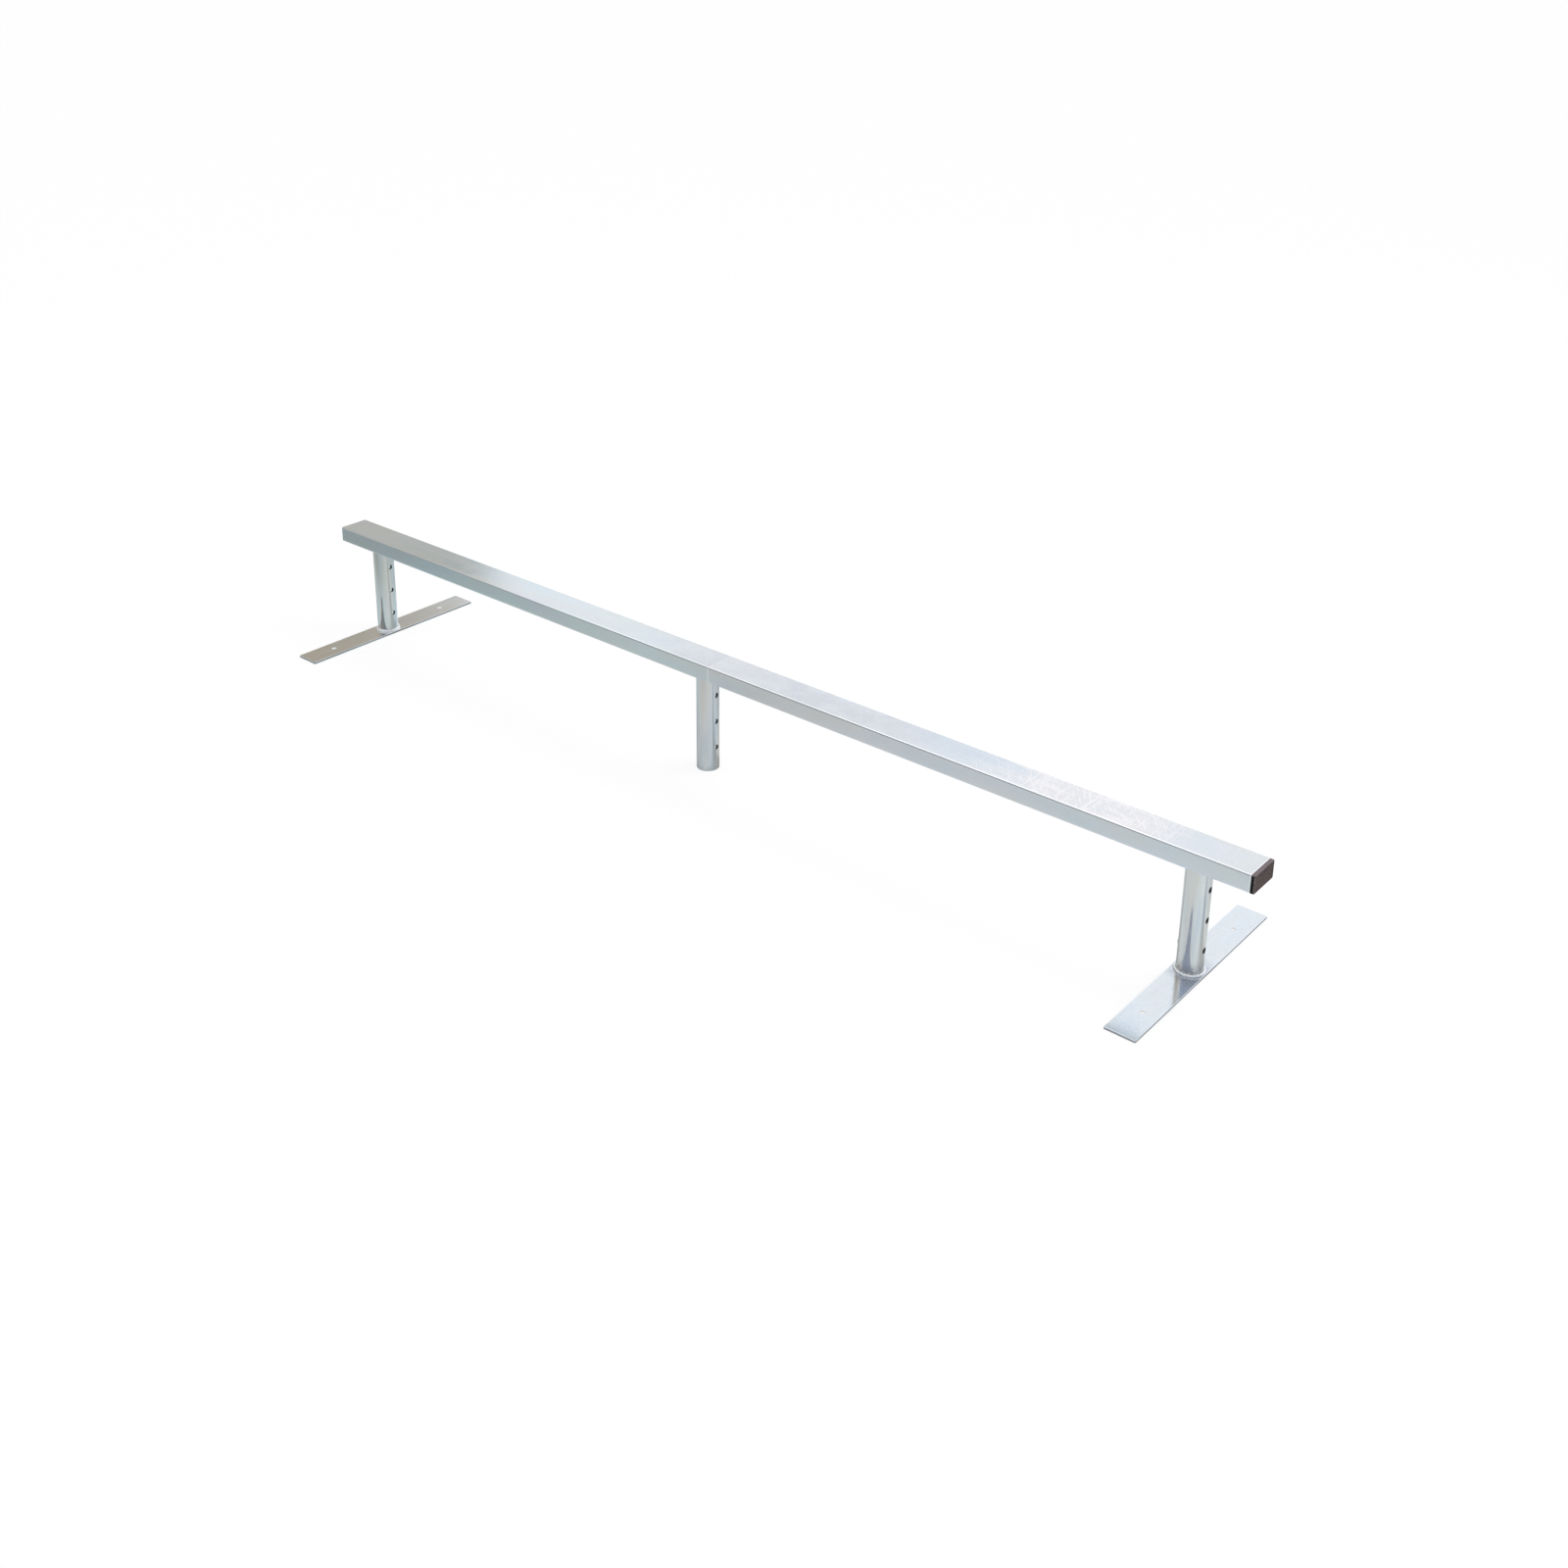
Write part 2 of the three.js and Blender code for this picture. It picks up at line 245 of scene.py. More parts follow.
def makeScratches():
    # three crossing sets of fine scratches, as grinding and stacking leave them
    group, given, out = startGroup("scratches", "Mask", Density=120.0, Amount=0.5)
    most = 0.0
    for turn, length in surface["scratchSets"]:
        # texture mapping turns first and stretches after, so each set runs along its own turn
        inputs = {"Vector": given["Vector"], "Rotation": (0, 0, turn), "Scale": (length, 1, 1)}
        turned = addNode(group, "ShaderNodeMapping", inputs, vector_type="TEXTURE")
        grain = addNoise(group, turned.outputs["Vector"], given["Density"])
        most = addMath(group, "MAXIMUM", most, addRange(group, grain, *surface["scratchCut"]))
    feed(group, out, addProduct(group, most, given["Amount"]))
    return group


def makeFineGrain():
    # the all-over tooth of a surface, as a height and as a mask
    group, given, out = startGroup("fineGrain", "Mask", Scale=900.0)
    feed(group, out, addNoise(group, given["Vector"], given["Scale"], detail=3.0, roughness=0.6))
    return group


def makeEdgeWear():
    # a mask along the edges of a box: near two of its three pairs of faces at once
    inputs = {"Centre": (0, 0, 0), "Half": (1, 1, 1), "Width": 0.002}
    group, given, out = startGroup("edgeWear", "Mask", **inputs)
    offset = addVector(group, "SUBTRACT", given["Vector"], given["Centre"])
    left = addVector(group, "SUBTRACT", given["Half"], addVector(group, "ABSOLUTE", offset))
    near = [addRange(group, part, 0.0, given["Width"], 1.0, 0.0) for part in addSplit(group, left)]
    most = 0.0
    for first, second in ((0, 1), (1, 2), (0, 2)):
        most = addMath(group, "MAXIMUM", most, addProduct(group, near[first], near[second]))
    breakUp = addNoise(group, given["Vector"], surface["wearScale"], detail=3.0)
    patchy = addRange(group, breakUp, *surface["wearPatches"])
    feed(group, out, addProduct(group, most, patchy))
    return group


def makeWeldHaze():
    # a darker, spotted ring round a point, fading out between two distances
    inputs = {"Centre": (0, 0, 0), "Near": 0.022, "Far": 0.034}
    group, given, out = startGroup("weldHaze", "Mask", **inputs)
    reach = addVector(group, "DISTANCE", given["Vector"], given["Centre"], result="Value")
    ring = addRange(group, reach, given["Near"], given["Far"], 1.0, 0.0)
    spots = addNoise(group, given["Vector"], surface["spotScale"], detail=4.0, roughness=0.7)
    patchy = addRange(group, spots, *surface["spotPatches"])
    feed(group, out, addProduct(group, ring, patchy))
    return group


drawnLines = makeDrawnLines()
platingTint = makePlatingTint()
mottle = makeMottle()
scratches = makeScratches()
fineGrain = makeFineGrain()
edgeWear = makeEdgeWear()
weldHaze = makeWeldHaze()
print("surface effects ready")


# Main places, read from the frame


def boxOf(node):
    # a node's low and high corner, in whole micrometres
    return [[round(value, 6) for value in corner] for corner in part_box(node)]


def middleOf(node):
    low, high = boxOf(node)
    return round((low[0] + high[0]) / 2, 6)


def radiusOf(node):
    low, high = boxOf(node)
    return round((high[0] - low[0]) / 2, 6)


legs = {side: middleOf("leg_tube_" + side) for side in ("left", "middle", "right")}
legRadius = radiusOf("leg_tube_left")
postRadius = radiusOf("post_left")
screws = [middleOf("joint_screw_" + number) for number in "1234"]
railLow, railHigh = boxOf("rail_half_right")
seam = railLow[0]
farEnd = boxOf("rail_half_left")[0][0]
nearEnd = railHigh[0]
plateTop = boxOf("foot_plate_left")[1][2]


# Materials

zincTube = {
    "metallic": 0.95,
    "roughness": (0.06, 0.12),
    "lines": (3.0, 900.0, 900.0),
    "tintStretch": (3.6, 16.0, 16.0),
    "tint": 0.70,
    "mottle": 0.22,
    "lineBump": (0.04, 0.0002),
    "edgeWidth": 0.0032,
    "worn": (0.82, 0.85, 0.88, 1),
    "upward": (0.7, 0.95),
    "sideBelow": 0.5,
    "bandWidth": 0.0022,
    # bright sawn ends, with a painted highlight along them
    "bandTone": (0.97, 0.98, 0.99, 1),
    "bandRoughness": 0.15,
    "smearScale": 26.0,
    "smears": (0.38, 0.62, 0.35, 1.0),
    "smudge": (0.69, 0.69, 0.72, 1),
    "smudgeRoughness": 0.04,
    "scuffFrom": (0.50, 0.67),
    "scuffTo": (0.82, 0.90),
    "scuffLeast": 0.10,
    "scuffColor": (0.98, 0.935, 0.935, 1),
    "scuffRoughness": 0.20,
    "dust": 0.38,
    "dustTone": (1.0, 0.905, 0.865, 1),
    "scuffDensity": 270.0,
    "polishFrom": (0.10, 0.45),
    "polishTo": (0.88, 0.97),
    "polish": (1.0, 1.0, 1.0, 1),
}

tubeHalves = {
    "left": {
        "metal": (0.78, 0.83, 0.85, 1),
        "edgesPast": (0.0, 0.02),
        "film": ((-0.25, -0.02), (0.1, 0.2)),
    },
    "right": {
        "metal": (0.80, 0.82, 0.84, 1),
        "edgesPast": (0.02, 0.0),
        "film": ((-0.10, 0.16), (0.30, 0.56)),
    },
}

zincLeg = {
    "metal": {
        "left": (0.84, 0.82, 0.80, 1),
        "middle": (0.82, 0.84, 0.85, 1),
        "right": (0.83, 0.80, 0.77, 1),
    },
    "metallic": 0.95,
    "roughness": (0.09, 0.17),
    "lines": (900.0, 900.0, 4.0),
    "tintStretch": (70.0, 70.0, 5.0),
    "tint": 0.95,
    "mottle": 0.22,
    "lineBump": (0.03, 0.0002),
    "haze": (0.42, 0.43, 0.46, 1),
    "hazeRoughness": 0.25,
    "hazeReach": (0.0215, 0.0300),
}

zincFlat = {
    "metal": {"left": (0.88, 0.90, 0.91, 1), "right": (0.83, 0.86, 0.89, 1)},
    "metallic": 0.95,
    "roughness": (0.10, 0.17),
    "lines": (700.0, 8.0, 700.0),
    "tintStretch": (25.0, 9.0, 25.0),
    "tint": 0.35,
    "mottle": 0.22,
    "lineBump": (0.03, 0.0002),
    "edgeWidth": 0.0024,
    "worn": (0.99, 0.99, 0.99, 1),
    "sideways": (0.1, 0.4),
    "sheared": (0.42, 0.42, 0.44, 1),
    "shearedRoughness": 0.15,
    "haze": (0.50, 0.52, 0.58, 1),
    "hazeRoughness": 0.25,
    "hazeReach": (0.0225, 0.0420),
}

wornRoughness = 0.03  # what a worn edge adds to any of them


def startMaterial(name, color, metallic, roughness):
    material = bpy.data.materials.new(name)
    material.use_nodes = True
    tree = material.node_tree
    shader = tree.nodes["Principled BSDF"]
    shader.inputs["Base Color"].default_value = color
    shader.inputs["Metallic"].default_value = metallic
    shader.inputs["Roughness"].default_value = roughness
    return material, tree, shader, addNode(tree, "ShaderNodeTexCoord").outputs


def platedMetal(name, s, metal):
    # tinted metal, with roughness and bump that follow the drawn lines; its look is a colour and a roughness
    low, high = s["roughness"]
    material, tree, shader, place = startMaterial(name, metal, s["metallic"], low)
    spot = place["Object"]
    tint = addGroup(tree, platingTint, spot, Stretch=s["tintStretch"], Metal=metal, Strength=s["tint"])
    lines = addGroup(tree, drawnLines, spot, Stretch=s["lines"])
    addBump(tree, shader, lines, *s["lineBump"])
    uneven = addGroup(tree, mottle, spot, Depth=s["mottle"])
    look = addScaled(tree, tint, uneven), addRange(tree, lines, 0, 1, low, high)
    return material, tree, shader, place, look


def layOver(tree, mask, look, tone, extraRoughness=0.0):
    # a colour and some roughness laid over the metal where the mask is
    color, rough = look
    rougher = addMath(tree, "MULTIPLY_ADD", mask, extraRoughness, rough)
    return addMix(tree, mask, color, tone), rougher


def finishShader(tree, shader, look):
    color, rough = look
    feed(tree, shader.inputs["Base Color"], color)
    feed(tree, shader.inputs["Roughness"], rough)


def addEdges(tree, place, s, low, high):
    # a mask along the edges of the box between two corners
    low, high = Vector(low), Vector(high)
    inputs = {"Centre": (low + high) / 2, "Half": (high - low) / 2, "Width": s["edgeWidth"]}
    return addGroup(tree, edgeWear, place["Object"], **inputs)


def addStretch(tree, along, start, end):
    # a mask along the rail that rises over one range of X and falls over another
    return addProduct(tree, addRange(tree, along, *start), addRange(tree, along, *end, 1.0, 0.0))


def addBand(tree, along, middle, width):
    # a narrow band round the tube where X is near one place
    return addRange(tree, addReach(tree, along, middle), width / 2, width, 1.0, 0.0)


def addHaze(tree, place, s, side, look):
    # only the right foot gets a darker, spotted ring round its weld
    if side != "right":
        return look
    near, far = s["hazeReach"]
    centre = (legs[side], 0, plateTop)
    haze = addGroup(tree, weldHaze, place["Object"], Centre=centre, Near=near, Far=far)
    return layOver(tree, haze, look, s["haze"], s["hazeRoughness"])


def makeTubeZinc(half):
    s = zincTube
    own = tubeHalves[half]
    material, tree, shader, place, look = platedMetal("zincTube_" + half, s, own["metal"])
    spot = place["Object"]
    along = addSplit(tree, spot)["X"]
    facing = addSplit(tree, place["Normal"])["Z"]
    upward = addRange(tree, facing, *s["upward"])
    # the top is darker and duller in soft blotches beside the seam
    smears = addNoise(tree, spot, s["smearScale"], detail=3.0)
    patchy = addRange(tree, smears, *s["smears"])
    dull = addProduct(tree, addStretch(tree, along, *own["film"]), patchy, upward)
    look = layOver(tree, dull, look, s["smudge"], s["smudgeRoughness"])
    # the edges' box reaches past the seam, where the butted ends don't wear
    low, high = boxOf("rail_half_" + half)
    low[0] -= own["edgesPast"][0]
    high[0] += own["edgesPast"][1]
    edge = addEdges(tree, place, s, low, high)
    look = layOver(tree, edge, look, s["worn"], wornRoughness)
    # boards polish the edges along the landing side
    landing = addStretch(tree, along, s["polishFrom"], s["polishTo"])
    look = layOver(tree, addProduct(tree, edge, landing), look, s["polish"])
    # the sawn ends are bright, and the bands also carry a painted highlight along the cut edges: at the seam
    # only on the sides, at the cap all round
    side = addMath(tree, "LESS_THAN", facing, s["sideBelow"])
    seamBand = addProduct(tree, addBand(tree, along, seam, s["bandWidth"]), side)
    endBand = addBand(tree, along, nearEnd, s["bandWidth"])
    bright = addMath(tree, "MAXIMUM", seamBand, endBand)
    look = layOver(tree, bright, look, s["bandTone"], s["bandRoughness"])
    # the grinding face is scuffed where boards land, and dusty under its scratches
    stretch = addStretch(tree, along, s["scuffFrom"], s["scuffTo"])
    where = addProduct(tree, addMath(tree, "MAXIMUM", stretch, s["scuffLeast"]), upward)
    look = layOver(tree, addProduct(tree, where, s["dust"]), look, s["dustTone"])
    hatch = addGroup(tree, scratches, spot, Density=s["scuffDensity"], Amount=where)
    look = layOver(tree, hatch, look, s["scuffColor"], s["scuffRoughness"])
    finishShader(tree, shader, look)
    return material


def makeLegZinc(side):
    s = zincLeg
    material, tree, shader, place, look = platedMetal("zincLeg_" + side, s, s["metal"][side])
    finishShader(tree, shader, addHaze(tree, place, s, side, look))
    return material


def makeFlatZinc(side):
    s = zincFlat
    material, tree, shader, place, look = platedMetal("zincFlat_" + side, s, s["metal"][side])
    look = addHaze(tree, place, s, side, look)
    edge = addEdges(tree, place, s, *boxOf("foot_plate_" + side))
    look = layOver(tree, edge, look, s["worn"], wornRoughness)
    # the sheared sides are duller than the rolled faces
    facing = addSplit(tree, place["Normal"])["Z"]
    sheared = addRange(tree, facing, *s["sideways"], 1.0, 0.0)
    look = layOver(tree, sheared, look, s["sheared"], s["shearedRoughness"])
    finishShader(tree, shader, look)
    return material


# Grainy metals: what they share, and what each has of its own

grainyShared = {
    "tintStretch": (110, 110, 110),
    "tint": 0.4,
    "bump": (0.08, 0.0002),
}

grainyMetals = {
    # near white: the bead's own bright metal, and a painted highlight for the light its bulge catches
    "weldMetal": {
        "metal": (0.95, 0.96, 0.97, 1),
        "metallic": 0.75,
        "roughness": (0.16, 0.32),
        "grain": 1400.0,
        "tintStretch": (160, 160, 160),
        "tint": 0.5,
        "bump": (0.25, 0.0003),
    },
    "zincFastener": {
        "metal": (0.78, 0.80, 0.82, 1),
        "metallic": 0.95,
        "roughness": (0.22, 0.38),
        "grain": 700.0,
    },
    "springSteel": {
        "metal": (0.62, 0.64, 0.66, 1),
        "metallic": 0.95,
        "roughness": (0.20, 0.34),
        "grain": 500.0,
    },
    # near black: painted shade for the walls of bores and drilled holes
    "boreZinc": {
        "metal": (0.09, 0.09, 0.09, 1),
        "metallic": 0.7,
        "roughness": (0.50, 0.70),
        "grain": 400.0,
    },
    # near white: painted light for the walls of the anchor holes
    "filledZinc": {
        "metal": (0.96, 0.96, 0.96, 1),
        "metallic": 0.2,
        "roughness": (0.40, 0.60),
        "grain": 400.0,
    },
}


def makeGrainyMetal(name):
    s = {**grainyShared, **grainyMetals[name]}
    low, high = s["roughness"]
    material, tree, shader, place = startMaterial(name, s["metal"], s["metallic"], low)
    inputs = {"Stretch": s["tintStretch"], "Metal": s["metal"], "Strength": s["tint"]}
    tint = addGroup(tree, platingTint, place["Object"], **inputs)
    grain = addGroup(tree, fineGrain, place["Object"], Scale=s["grain"])
    addBump(tree, shader, grain, *s["bump"])
    finishShader(tree, shader, (tint, addRange(tree, grain, *noiseSpan, low, high)))
    return material


capPlastic = {
    "dark": (0.036, 0.022, 0.018),
    "pale": (0.074, 0.051, 0.044),
    # painted shade on the flange's sides, and a painted highlight on its upward faces
    "rim": (0.007, 0.005, 0.005, 1),
    "rimTop": (0.15, 0.12, 0.13, 1),
    "worn": (0.20, 0.17, 0.18, 1),
    "roughness": (0.42, 0.60),
    "cloudScale": 140.0,
    "grain": 2600.0,
    "bump": (0.35, 0.0001),
    "sideways": (0.3, 0.8),
    "upward": (0.45, 0.80),
    "rimRoughness": 0.05,
    "specular": 0.20,
    "edgeWidth": 0.0022,
}


def makeCapPlastic(s):
    low, high = s["roughness"]
    material, tree, shader, place = startMaterial("capPlastic", (*s["dark"], 1), 0.0, low)
    shader.inputs["Specular IOR Level"].default_value = s["specular"]
    cloud = addNoise(tree, place["Object"], s["cloudScale"], detail=4.0, roughness=0.6)
    shade = addRamp(tree, cloud, list(zip(noiseSpan, (s["dark"], s["pale"]))))
    grain = addGroup(tree, fineGrain, place["Object"], Scale=s["grain"])
    addBump(tree, shader, grain, *s["bump"])
    look = shade, addRange(tree, grain, *noiseSpan, low, high)
    # painted shade darkens the sides of the flange to near black, and a painted highlight lightens its
    # upward faces; the moulded end face keeps its cloudy tone
    facing = addSplit(tree, place["Normal"])
    sideways = addRange(tree, facing["X"], *s["sideways"], 1.0, 0.0)
    look = layOver(tree, sideways, look, s["rim"], s["rimRoughness"])
    look = layOver(tree, addRange(tree, facing["Z"], *s["upward"]), look, s["rimTop"])
    # only the outer edges of the flange wear, so the box reaches as far behind its seat
    low, high = boxOf("end_cap_right")
    low[0] = 2 * nearEnd - high[0]
    edge = addEdges(tree, place, s, low, high)
    look = layOver(tree, edge, look, s["worn"], wornRoughness)
    finishShader(tree, shader, look)
    return material


tubeZinc = {half: makeTubeZinc(half) for half in tubeHalves}
legZinc = {side: makeLegZinc(side) for side in legs}
flatZinc = {side: makeFlatZinc(side) for side in zincFlat["metal"]}
grainy = {name: makeGrainyMetal(name) for name in grainyMetals}
darkPlastic = makeCapPlastic(capPlastic)
print("materials ready")


# Modelling helpers

drillSides = 48
sharpAngle = 40
mergeWithin = 0.000002
mostly = 0.9  # the share of a direction along an axis from which it counts as facing that way


def deselectAll():
    bpy.ops.object.select_all(action="DESELECT")


def makeActive(piece):
    deselectAll()
    piece.select_set(True)
    bpy.context.view_layer.objects.active = piece


def takeNew(name):
    # the new primitive gets its name, and its place goes into its mesh
    bpy.ops.object.transform_apply(location=True, rotation=True, scale=True)
    piece = bpy.context.object
    piece.name = name
    piece.data.name = name
    return piece


def addBlock(name, low, high):
    deselectAll()
    low, high = Vector(low), Vector(high)
    bpy.ops.mesh.primitive_cube_add(size=1, location=(low + high) / 2, scale=high - low)
    return takeNew(name)


def addCylinder(name, sides, radius, length, place, turn=(0, 0, 0)):
    deselectAll()
    bpy.ops.mesh.primitive_cylinder_add(
        vertices=sides, radius=radius, depth=length, location=place, rotation=turn
    )
    return takeNew(name)


def addUpright(name, sides, radius, x, bottom, top):
    return addCylinder(name, sides, radius, top - bottom, (x, 0, (top + bottom) / 2))


def editMesh(piece):
    makeActive(piece)
    bpy.ops.object.mode_set(mode="EDIT")


def leaveEdit():
    bpy.ops.object.mode_set(mode="OBJECT")


def pick(kind, test):
    # in edit mode, selects only the faces or edges whose centre and direction pass the test
    bpy.ops.mesh.select_mode(type=kind)
    bpy.ops.mesh.select_all(action="DESELECT")
    form = bmesh.from_edit_mesh(bpy.context.object.data)
    form.normal_update()
    if kind == "FACE":
        found = [(face, face.calc_center_median(), face.normal) for face in form.faces]
    else:
        ends = [(edge, edge.verts[0].co, edge.verts[1].co) for edge in form.edges]
        found = [(edge, (low + high) / 2, (high - low).normalized()) for edge, low, high in ends]
    for element, centre, direction in found:
        if test(centre, direction):
            element.select_set(True)
    bmesh.update_edit_mesh(bpy.context.object.data)


def alongRail(centre, direction):
    return abs(direction.x) > mostly


def standsUp(centre, direction):
    return abs(direction.z) > mostly


def bevelWhere(piece, kind, test, width, steps):
    editMesh(piece)
    pick(kind, test)
    bpy.ops.mesh.bevel(offset=width, segments=steps, affect="EDGES")
    leaveEdit()


def pushUp(height):
    bpy.ops.mesh.extrude_region_move(TRANSFORM_OT_translate={"value": (0, 0, height)})


def applyModifier(piece, kind, **options):
    makeActive(piece)
    made = piece.modifiers.new(kind.lower(), kind)
    for name, value in options.items():
        setattr(made, name, value)
    bpy.ops.object.modifier_apply(modifier=made.name)


def combine(piece, other, operation):
    applyModifier(piece, "BOOLEAN", operation=operation, solver="EXACT", object=other)
    bpy.data.objects.remove(other)


def joinPieces(pieces):
    makeActive(pieces[0])
    for piece in pieces:
        piece.select_set(True)
    bpy.ops.object.join()
    return pieces[0]


def drill(piece, places, radius, length, turn=(0, 0, 0)):
    cutters = [addCylinder("cutter", drillSides, radius, length, place, turn) for place in places]
    combine(piece, joinPieces(cutters), "DIFFERENCE")


def softenEdges(piece, width, steps=2):
    applyModifier(
        piece,
        "BEVEL",
        width=width,
        segments=steps,
        limit_method="ANGLE",
        angle_limit=math.radians(sharpAngle),
        miter_outer="MITER_ARC",
    )


def tidyMesh(piece):
    editMesh(piece)
    bpy.ops.mesh.select_mode(type="VERT")
    bpy.ops.mesh.select_all(action="SELECT")
    bpy.ops.mesh.remove_doubles(threshold=mergeWithin)
    bpy.ops.mesh.normals_make_consistent(inside=False)
    leaveEdit()


def copyPiece(piece, name, shift):
    made = piece.copy()
    made.data = piece.data.copy()
    made.name = name
    made.data.name = name
    made.data.transform(Matrix.Translation(shift))
    scene.collection.objects.link(made)
    return made


def dress(piece, material, body, node):
    piece.data.materials.clear()
    piece.data.materials.append(material)
    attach(piece, body)
    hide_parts(node)


def smoothSides(piece, angle=30):
    # weighted normals keep the large flat faces flat where they meet their rounded edges
    makeActive(piece)
    bpy.ops.object.shade_smooth_by_angle(angle=math.radians(angle))
    applyModifier(piece, "WEIGHTED_NORMAL", keep_sharp=True)


def addLining(piece, material, reachOf, radius):
    # the upright walls within a radius get a second material
    piece.data.materials.append(material)
    for face in piece.data.polygons:
        if abs(face.normal.z) < mostly and reachOf(face.center) < radius:
            face.material_index = 1


# Rail halves: rectangular tube with rounded corners, butted at the seam

rail = {
    "wall": 0.002,
    "cornerRadius": 0.003,
    "cornerSteps": 8,
    "edge": 0.0003,
    "screwHole": 0.0033,
}


def makeRailHalf(half):
    s = rail
    low, high = boxOf("rail_half_" + half)
    piece = addBlock("railTube" + half.title(), low, high)
    bevelWhere(piece, "EDGE", alongRail, s["cornerRadius"], s["cornerSteps"])
    editMesh(piece)
    pick("FACE", alongRail)
    bpy.ops.mesh.inset(thickness=s["wall"], use_even_offset=True)
    bpy.ops.mesh.bridge_edge_loops()  # the two inset ends become the bore
    leaveEdit()
    tidyMesh(piece)
    places = [(x, 0, low[2]) for x in screws if low[0] < x < high[0]]
    drill(piece, places, s["screwHole"], 4 * s["wall"])
    softenEdges(piece, s["edge"])
    smoothSides(piece)
    dress(piece, tubeZinc[half], "rail", "rail_half_" + half)


for half in tubeZinc:
    makeRailHalf(half)
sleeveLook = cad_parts["joint_sleeve"].data.materials
sleeveLook.clear()
sleeveLook.append(tubeZinc["left"])
print("rail halves made")


# Leg tubes and posts: round tube, cross-drilled

roundTube = {
    "sides": 96,
    "wall": 0.002,
    "holeRadius": 0.005,
    "holes": (0.043, 0.093, 0.143),
    "loopMargin": 0.008,
    "edge": 0.0004,
    "roundWithin": 0.00003,
    "liningDepth": 0.0006,
}


def roundShading(piece, x, radii):
    # a drilled round wall keeps the shading of a true cylinder
    mesh = piece.data
    normals = [(0.0, 0.0, 0.0)] * len(mesh.loops)
    for face in mesh.polygons:
        corners = [mesh.vertices[index].co for index in face.vertices]
        reach = [math.hypot(corner.x - x, corner.y) for corner in corners]
        for radius, sign in radii:
            if all(abs(distance - radius) < roundTube["roundWithin"] for distance in reach):
                for loop, corner, distance in zip(face.loop_indices, corners, reach):
                    normals[loop] = (sign * (corner.x - x) / distance, sign * corner.y / distance, 0.0)
    mesh.normals_split_custom_set(normals)


def makeRoundTube(name, x, radius, bottom, top, holes, drillTo):
    # the holes run along the rail, from outside the -X wall as far as drillTo from the middle
    s = roundTube
    deselectAll()
    bpy.ops.mesh.primitive_circle_add(vertices=s["sides"], radius=radius, location=(x, 0, bottom))
    piece = takeNew(name)
    editMesh(piece)
    bpy.ops.mesh.select_mode(type="EDGE")
    bpy.ops.mesh.select_all(action="SELECT")
    level = bottom
    heights = [hole + way * s["loopMargin"] for hole in holes for way in (-1, 1)]
    for height in (*heights, top):
        pushUp(height - level)
        level = height
    bpy.ops.mesh.select_all(action="SELECT")
    bpy.ops.mesh.normals_make_consistent(inside=False)
    leaveEdit()
    applyModifier(piece, "SOLIDIFY", thickness=s["wall"], offset=-1)
    length = 2 * radius + drillTo
    places = [(x + drillTo - length / 2, 0, hole) for hole in holes]
    drill(piece, places, s["holeRadius"], length, turn=(0, math.pi / 2, 0))
    softenEdges(piece, s["edge"])
    smoothSides(piece)
    roundShading(piece, x, [(radius, 1), (radius - s["wall"], -1)])
    return piece


def finishTube(piece, side, x, radius, body, node):
    # the walls of the bore and of the drilled holes are painted near black: painted shade inside the tubes
    # and their holes
    dress(piece, legZinc[side], body, node)
    inner = radius - roundTube["liningDepth"]
    addLining(piece, grainy["boreZinc"], lambda centre: math.hypot(centre.x - x, centre.y), inner)


for side, x in legs.items():
    holes = roundTube["holes"]
    low, high = boxOf("leg_tube_" + side)
    legTube = makeRoundTube("legTube_" + side, x, legRadius, low[2], high[2], holes, 2 * legRadius)
    finishTube(legTube, side, x, legRadius, side + "_leg", "leg_tube_" + side)
    low, high = boxOf("post_" + side)
    post = makeRoundTube("postTube_" + side, x, postRadius, low[2], high[2], holes[:1], 0)
    finishTube(post, side, x, postRadius, "rail", "post_" + side)
print("leg tubes and posts made")


# Foot plates: flat bar with rounded rolled edges and two anchor holes

footPlate = {
    "cornerRadius": 0.0016,
    "cornerSteps": 5,
    "edge": 0.0011,
    "edgeSteps": 4,
    "holeRadius": 0.004,
    "holeOffset": 0.135,
}


def makeFootPlate(name):
    s = footPlate
    piece = addBlock(name, *boxOf("foot_plate_left"))
    bevelWhere(piece, "EDGE", standsUp, s["cornerRadius"], s["cornerSteps"])
    places = [(legs["left"], side * s["holeOffset"], plateTop / 2) for side in (-1, 1)]
    drill(piece, places, s["holeRadius"], 4 * plateTop)
    softenEdges(piece, s["edge"], s["edgeSteps"])
    smoothSides(piece)
    return piece


def finishPlate(piece, side):
    # the walls of the small anchor holes are painted near white and matt: painted light for the bright floor
    # seen through them
    s = footPlate
    dress(piece, flatZinc[side], side + "_leg", "foot_plate_" + side)

    def reachOf(centre):
        return math.hypot(centre.x - legs[side], abs(centre.y) - s["holeOffset"])

    addLining(piece, grainy["filledZinc"], reachOf, s["holeRadius"] + s["edge"])


footPlateLeft = makeFootPlate("footPlate_left")
footPlateRight = copyPiece(footPlateLeft, "footPlate_right", (legs["right"] - legs["left"], 0, 0))
finishPlate(footPlateLeft, "left")
finishPlate(footPlateRight, "right")
print("foot plates made")


# Weld beads: a profile spun round the tube, then rippled as the pool freezes

weldBead = {
    "profileSides": 14,
    "steps": 288,
    "profilePlace": 0.42,
    "profileRadius": 0.52,
    "ripples": 46,
    "rippleDepth": 0.00036,
    "ridgePower": 0.7,
    "wander": 0.00055,
    "driftTurns": 3,
    "driftShift": (7, 40),
    "driftLevel": 0.25,
    "lean": 0.55,
    "smoothAngle": 60,
    "sink": 0.0001,
    "footLeg": 0.0042,
    "postLeg": 0.0036,
}


